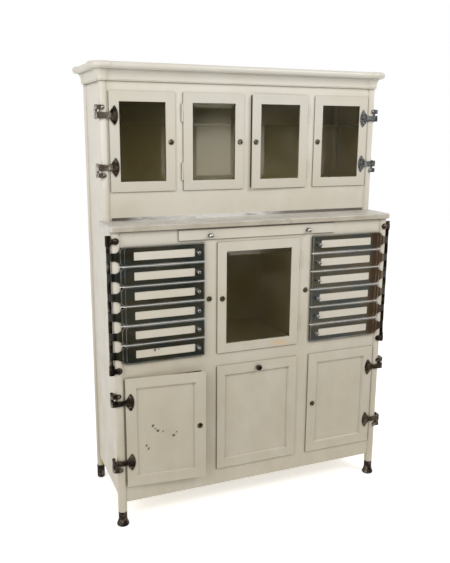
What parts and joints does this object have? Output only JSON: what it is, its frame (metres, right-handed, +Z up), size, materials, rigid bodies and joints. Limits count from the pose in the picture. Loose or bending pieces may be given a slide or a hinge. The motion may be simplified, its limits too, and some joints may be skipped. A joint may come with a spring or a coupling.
{
  "type": "dental cabinet",
  "caption": "Enamelled steel dental cabinet with glazed upper doors, a marble top, swing-out trays, a pull-out shelf, a tilt-out bin and cupboards on tube legs.",
  "frame": {"origin": "on the floor, under the middle of the cabinet's bounding box", "axes": "+Z up, +X to the right seen from the front, the front faces -Y"},
  "size_m": [1.135, 0.43, 1.6],
  "materials": {
    "cream_enamel": "old cream enamel, satin gloss",
    "inner_enamel": "aged cream enamel",
    "tray_enamel": "cream enamel",
    "dark_ferrule": "worn dark metal",
    "dark_hinges": "tarnished nickel plate, nearly black",
    "dark_nickel": "tarnished nickel plate",
    "tray_nickel": "dark polished nickel plate",
    "nickel_trim": "polished nickel plate",
    "chrome": "polished",
    "dark_knob": "dark, polished",
    "marble": "honed pale marble with grey veins",
    "door_glass": "clear, bevelled",
    "shelf_glass": "clear, faint green edge"
  },
  "bodies": {
    "carcass": {"corner_posts": "cream_enamel", "feet": "dark_ferrule", "side_panels": "cream_enamel", "back_panel": "cream_enamel", "lower_front_frame": "cream_enamel", "inner_case": "inner_enamel", "marble_worktop": "marble", "trim_strip": "nickel_trim", "upper_front_frame": "cream_enamel", "cornice": "cream_enamel", "glass_shelf": "shelf_glass", "tray_rods": "dark_nickel", "fixed_fittings": "dark_hinges"},
    "writing_shelf": {"shelf_board": "cream_enamel", "shelf_knobs": "chrome"},
    "tilt_bin": {"bin": "cream_enamel", "bin_knob": "dark_knob"},
    "centre_door": {"centre_door_frame": "cream_enamel", "centre_door_glass": "door_glass", "centre_door_lock": "dark_hinges"},
    "lower_left_door": {"lower_door_left": "cream_enamel", "lower_door_left_fittings": "dark_hinges"},
    "lower_right_door": {"lower_door_right": "cream_enamel", "lower_door_right_fittings": "dark_hinges"},
    "upper_door_1": {"upper_door_1_frame": "cream_enamel", "upper_door_1_glass": "door_glass", "upper_door_1_fittings": "dark_hinges"},
    "upper_door_2": {"upper_door_2_frame": "cream_enamel", "upper_door_2_glass": "door_glass", "upper_door_2_fittings": "dark_hinges"},
    "upper_door_3": {"upper_door_3_frame": "cream_enamel", "upper_door_3_glass": "door_glass", "upper_door_3_fittings": "dark_hinges"},
    "upper_door_4": {"upper_door_4_frame": "cream_enamel", "upper_door_4_glass": "door_glass", "upper_door_4_fittings": "dark_hinges"},
    "tray_left_1": {"tray_pan_left_1": "tray_enamel", "tray_front_left_1": "tray_nickel"},
    "tray_left_2": {"tray_pan_left_2": "tray_enamel", "tray_front_left_2": "tray_nickel"},
    "tray_left_3": {"tray_pan_left_3": "tray_enamel", "tray_front_left_3": "tray_nickel"},
    "tray_left_4": {"tray_pan_left_4": "tray_enamel", "tray_front_left_4": "tray_nickel"},
    "tray_left_5": {"tray_pan_left_5": "tray_enamel", "tray_front_left_5": "tray_nickel"},
    "tray_left_6": {"tray_pan_left_6": "tray_enamel", "tray_front_left_6": "tray_nickel"},
    "tray_right_1": {"tray_pan_right_1": "tray_enamel", "tray_front_right_1": "tray_nickel"},
    "tray_right_2": {"tray_pan_right_2": "tray_enamel", "tray_front_right_2": "tray_nickel"},
    "tray_right_3": {"tray_pan_right_3": "tray_enamel", "tray_front_right_3": "tray_nickel"},
    "tray_right_4": {"tray_pan_right_4": "tray_enamel", "tray_front_right_4": "tray_nickel"},
    "tray_right_5": {"tray_pan_right_5": "tray_enamel", "tray_front_right_5": "tray_nickel"},
    "tray_right_6": {"tray_pan_right_6": "tray_enamel", "tray_front_right_6": "tray_nickel"}
  },
  "joints": [
    {"name": "writing_shelf_slide", "type": "slide", "parent": "carcass", "child": "writing_shelf", "axis": [0, -1, 0], "range_m": [0, 0.25]},
    {"name": "tilt_bin_hinge", "type": "hinge", "parent": "carcass", "child": "tilt_bin", "pos_m": [0, -0.17935, 0.1531], "axis": [1, 0, 0], "range_deg": [0, 30]},
    {"name": "centre_door_hinge", "type": "hinge", "parent": "carcass", "child": "centre_door", "pos_m": [0.1651, -0.18045, 0.804], "axis": [0, 0, 1], "range_deg": [0, 100]},
    {"name": "lower_left_door_hinge", "type": "hinge", "parent": "carcass", "child": "lower_left_door", "pos_m": [-0.544, -0.16395, 0.3535], "axis": [0, 0, -1], "range_deg": [-5.5, 165]},
    {"name": "lower_right_door_hinge", "type": "hinge", "parent": "carcass", "child": "lower_right_door", "pos_m": [0.544, -0.16395, 0.3535], "axis": [0, 0, 1], "range_deg": [0, 170]},
    {"name": "upper_door_1_hinge", "type": "hinge", "parent": "carcass", "child": "upper_door_1", "pos_m": [-0.541, -0.04295, 1.344], "axis": [0, 0, -1], "range_deg": [0, 170]},
    {"name": "upper_door_2_hinge", "type": "hinge", "parent": "carcass", "child": "upper_door_2", "pos_m": [-0.2461, -0.05945, 1.344], "axis": [0, 0, -1], "range_deg": [0, 90]},
    {"name": "upper_door_3_hinge", "type": "hinge", "parent": "carcass", "child": "upper_door_3", "pos_m": [0.2461, -0.05945, 1.344], "axis": [0, 0, 1], "range_deg": [-2.5, 87.5]},
    {"name": "upper_door_4_hinge", "type": "hinge", "parent": "carcass", "child": "upper_door_4", "pos_m": [0.541, -0.04295, 1.344], "axis": [0, 0, 1], "range_deg": [0, 170]},
    {"name": "tray_left_1_hinge", "type": "hinge", "parent": "carcass", "child": "tray_left_1", "pos_m": [-0.5425, -0.17095, 0.9787], "axis": [0, 0, -1], "range_deg": [0, 120]},
    {"name": "tray_left_2_hinge", "type": "hinge", "parent": "carcass", "child": "tray_left_2", "pos_m": [-0.5425, -0.17095, 0.9109], "axis": [0, 0, -1], "range_deg": [0, 120]},
    {"name": "tray_left_3_hinge", "type": "hinge", "parent": "carcass", "child": "tray_left_3", "pos_m": [-0.5425, -0.17095, 0.8431], "axis": [0, 0, -1], "range_deg": [0, 120]},
    {"name": "tray_left_4_hinge", "type": "hinge", "parent": "carcass", "child": "tray_left_4", "pos_m": [-0.5425, -0.17095, 0.7753], "axis": [0, 0, -1], "range_deg": [0, 120]},
    {"name": "tray_left_5_hinge", "type": "hinge", "parent": "carcass", "child": "tray_left_5", "pos_m": [-0.5425, -0.17095, 0.7075], "axis": [0, 0, -1], "range_deg": [0, 120]},
    {"name": "tray_left_6_hinge", "type": "hinge", "parent": "carcass", "child": "tray_left_6", "pos_m": [-0.5425, -0.17095, 0.6397], "axis": [0, 0, -1], "range_deg": [0, 120]},
    {"name": "tray_right_1_hinge", "type": "hinge", "parent": "carcass", "child": "tray_right_1", "pos_m": [0.5425, -0.17095, 0.9787], "axis": [0, 0, 1], "range_deg": [0, 120]},
    {"name": "tray_right_2_hinge", "type": "hinge", "parent": "carcass", "child": "tray_right_2", "pos_m": [0.5425, -0.17095, 0.9109], "axis": [0, 0, 1], "range_deg": [0, 120]},
    {"name": "tray_right_3_hinge", "type": "hinge", "parent": "carcass", "child": "tray_right_3", "pos_m": [0.5425, -0.17095, 0.8431], "axis": [0, 0, 1], "range_deg": [0, 120]},
    {"name": "tray_right_4_hinge", "type": "hinge", "parent": "carcass", "child": "tray_right_4", "pos_m": [0.5425, -0.17095, 0.7753], "axis": [0, 0, 1], "range_deg": [0, 120]},
    {"name": "tray_right_5_hinge", "type": "hinge", "parent": "carcass", "child": "tray_right_5", "pos_m": [0.5425, -0.17095, 0.7075], "axis": [0, 0, 1], "range_deg": [0, 120]},
    {"name": "tray_right_6_hinge", "type": "hinge", "parent": "carcass", "child": "tray_right_6", "pos_m": [0.5425, -0.17095, 0.6397], "axis": [0, 0, 1], "range_deg": [0, 120]}
  ]
}
